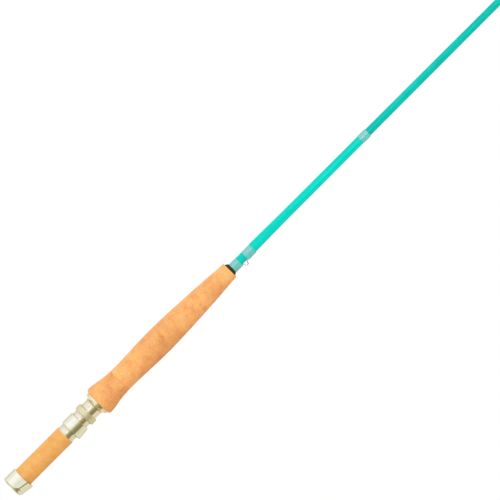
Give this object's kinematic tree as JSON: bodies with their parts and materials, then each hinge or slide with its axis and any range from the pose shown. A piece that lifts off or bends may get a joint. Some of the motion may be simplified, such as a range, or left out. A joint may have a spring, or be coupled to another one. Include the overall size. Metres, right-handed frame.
{
  "type": "fly rod",
  "caption": "Slim jointed fly rod with a cork grip, a screw-locking metal reel seat with two hooded pockets, a wire hook keeper, line guides and a tip ring.",
  "frame": {"origin": "on the rod's axis, at the flat in the middle of the butt cap's end", "axes": "+X along the rod from butt to tip, -Z towards the reel and the line guides, +Z away from them"},
  "size_m": [2.057, 0.0264, 0.0305],
  "materials": {
    "seat_metal": "bright anodised, turned, pale champagne",
    "nut_metal": "satin anodised, pale champagne",
    "thrust_ring": "moulded nylon",
    "insert_cork": "sealed fine cork",
    "arbor_foam": "rigid foam",
    "grip_cork": "sanded natural cork with filled pits",
    "check_rubber": "black, satin",
    "guide_wire": "hard chromed stainless wire",
    "ring_ceramic": "polished dark ceramic",
    "blank_glass": "teal tinted glass-fibre laminate, gloss varnish",
    "clear_finish": "clear epoxy finish over the teal blank, which shows through to its edge",
    "wrap_thread": "pale aqua thread, made half clear by its finish"
  },
  "bodies": {
    "root": {"butt_cap": "seat_metal", "seat_insert": "insert_cork", "insert_ring": "seat_metal", "seat_barrel": "seat_metal", "seat_arbors": "arbor_foam", "barrel_collar": "seat_metal", "grip_ring": "seat_metal", "cork_ring_01": "grip_cork", "cork_ring_02": "grip_cork", "cork_ring_03": "grip_cork", "cork_ring_04": "grip_cork", "cork_ring_05": "grip_cork", "cork_ring_06": "grip_cork", "cork_ring_07": "grip_cork", "cork_ring_08": "grip_cork", "cork_ring_09": "grip_cork", "cork_ring_10": "grip_cork", "cork_ring_11": "grip_cork", "cork_ring_12": "grip_cork", "winding_check": "check_rubber", "keeper_wrap_rear": "wrap_thread", "keeper_wrap_front": "wrap_thread", "keeper_coat": "clear_finish", "hook_keeper": "guide_wire", "label_coat": "clear_finish", "trim_wrap": "wrap_thread", "butt_blank": "blank_glass"},
    "nut_carrier": {"nut_ring": "thrust_ring"},
    "lock_nut": {"lock_nut": "nut_metal"},
    "hood": {"sliding_hood": "seat_metal"},
    "mid_section": {"mid_blank": "blank_glass", "mid_ferrule_wrap": "wrap_thread", "stripping_guide_frame": "guide_wire", "stripping_guide_ring": "ring_ceramic", "stripping_guide_wraps": "wrap_thread", "snake_guide_1": "guide_wire", "snake_wraps_1": "wrap_thread", "snake_guide_2": "guide_wire", "snake_wraps_2": "wrap_thread"},
    "tip_section": {"tip_blank": "blank_glass", "tip_ferrule_wrap": "wrap_thread", "snake_guide_3": "guide_wire", "snake_wraps_3": "wrap_thread", "snake_guide_4": "guide_wire", "snake_wraps_4": "wrap_thread", "snake_guide_5": "guide_wire", "snake_wraps_5": "wrap_thread", "snake_guide_6": "guide_wire", "snake_wraps_6": "wrap_thread", "tip_top_tube": "guide_wire", "tip_top_loop": "guide_wire", "tip_wrap": "wrap_thread"}
  },
  "joints": [
    {"name": "nut_travel", "type": "slide", "parent": "root", "child": "nut_carrier", "axis": [1, 0, 0], "range_m": [-0.0155, 0.0058]},
    {"name": "nut_spin", "type": "hinge", "parent": "nut_carrier", "child": "lock_nut", "pos_m": [0.0841, 0, 0], "axis": [1, 0, 0], "range_deg": [-4390, 1640]},
    {"name": "hood_slide", "type": "slide", "parent": "nut_carrier", "child": "hood", "axis": [1, 0, 0], "range_m": [-0.034, 0.004]},
    {"name": "mid_pull_off", "type": "slide", "parent": "root", "child": "mid_section", "axis": [1, 0, 0], "range_m": [0, 0.07]},
    {"name": "tip_pull_off", "type": "slide", "parent": "mid_section", "child": "tip_section", "axis": [1, 0, 0], "range_m": [0, 0.07]}
  ],
  "couplings": [
    {"joint": "nut_travel", "follows": "nut_spin", "m_per_rad": 0.00020213}
  ]
}
